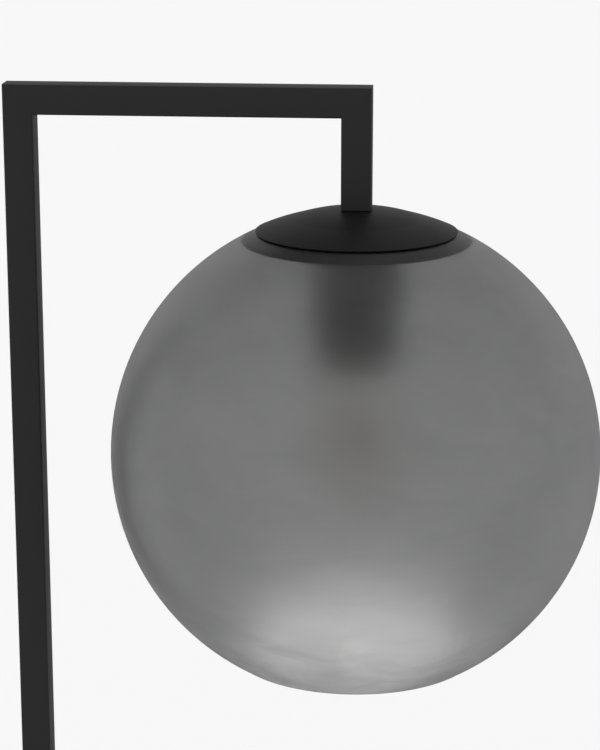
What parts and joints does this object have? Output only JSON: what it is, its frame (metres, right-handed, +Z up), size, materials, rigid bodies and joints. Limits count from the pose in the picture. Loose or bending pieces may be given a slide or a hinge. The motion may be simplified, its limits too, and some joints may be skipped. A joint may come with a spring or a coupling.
{
  "type": "globe floor lamp",
  "caption": "Floor lamp with a square tube frame, a round weighted base and a smoked glass globe, open at the bottom, under a dome cap, with a screw-in bulb.",
  "frame": {"origin": "centre of the round base, on the floor", "axes": "+Z up along the post; +X from the post towards the globe; +Y to the back"},
  "size_m": [0.4444, 0.33, 1.5],
  "materials": {
    "frame_paint": "matt black powder coat on steel",
    "cap_paint": "matt black powder coat on spun steel",
    "smoked_glass": "smoked glass, frosted inside",
    "zinc_steel": "zinc-plated steel",
    "raw_iron": "grey cast iron",
    "black_rubber": "matt",
    "clear_silicone": "translucent",
    "black_phenolic": "moulded",
    "white_ceramic": "glazed",
    "brass_metal": "turned and drawn",
    "bulb_clear_glass": "clear, faintly warm grey",
    "bulb_nickel": "nickel-plated",
    "bulb_black_glass": "black insulating glass",
    "filament_phosphor": "yellow phosphor coat",
    "block_nylon": "moulded nylon",
    "cable_sheath": "flexible sheath",
    "wire_insulation": "flexible insulation",
    "pad_foam": "foam rubber"
  },
  "bodies": {
    "lamp": {"base_pad": "pad_foam", "bottom_plate": "zinc_steel", "base_weight": "raw_iron", "base_cover": "frame_paint", "base_screws": "zinc_steel", "flange_screws": "zinc_steel", "cable_grommet": "black_rubber", "terminal_block": "block_nylon", "terminal_screws": "zinc_steel", "block_screw": "zinc_steel", "post_flange": "zinc_steel", "lower_post": "frame_paint", "post_coupler": "zinc_steel", "grub_screws": "zinc_steel", "post_upper": "frame_paint", "top_arm": "frame_paint", "drop_arm": "frame_paint", "drop_plug": "zinc_steel", "nipple": "zinc_steel", "neck_washer": "black_rubber", "shade_cap": "cap_paint", "cap_gasket": "clear_silicone", "globe": "smoked_glass", "centring_bush": "clear_silicone", "shade_plate": "cap_paint", "plate_gasket": "black_rubber", "holder_cup": "cap_paint", "plate_washer": "zinc_steel", "plate_nut": "zinc_steel", "holder_cover": "black_phenolic", "holder_body": "black_phenolic", "holder_core": "white_ceramic", "holder_screws": "brass_metal", "screw_shell": "brass_metal", "centre_contact": "brass_metal", "inner_cable": "cable_sheath", "base_wires": "wire_insulation", "holder_wires": "wire_insulation"},
    "bulb_foot": {"bulb_tip": "bulb_nickel"},
    "bulb": {"bulb_glass": "bulb_clear_glass", "bulb_cap": "bulb_nickel", "bulb_insulator": "bulb_black_glass", "bulb_stem": "bulb_clear_glass", "bulb_filaments": "filament_phosphor", "bulb_wires": "zinc_steel"}
  },
  "joints": [
    {"name": "bulb_advance", "type": "slide", "parent": "lamp", "child": "bulb_foot", "axis": [0, 0, -1], "range_m": [0, 0.01089]},
    {"name": "bulb_turn", "type": "hinge", "parent": "bulb_foot", "child": "bulb", "pos_m": [0.128, 0, 1.25042], "axis": [0, 0, -1], "range_deg": [0, 1081]}
  ],
  "couplings": [
    {"joint": "bulb_turn", "follows": "bulb_advance", "rad_per_m": 1731.4}
  ]
}
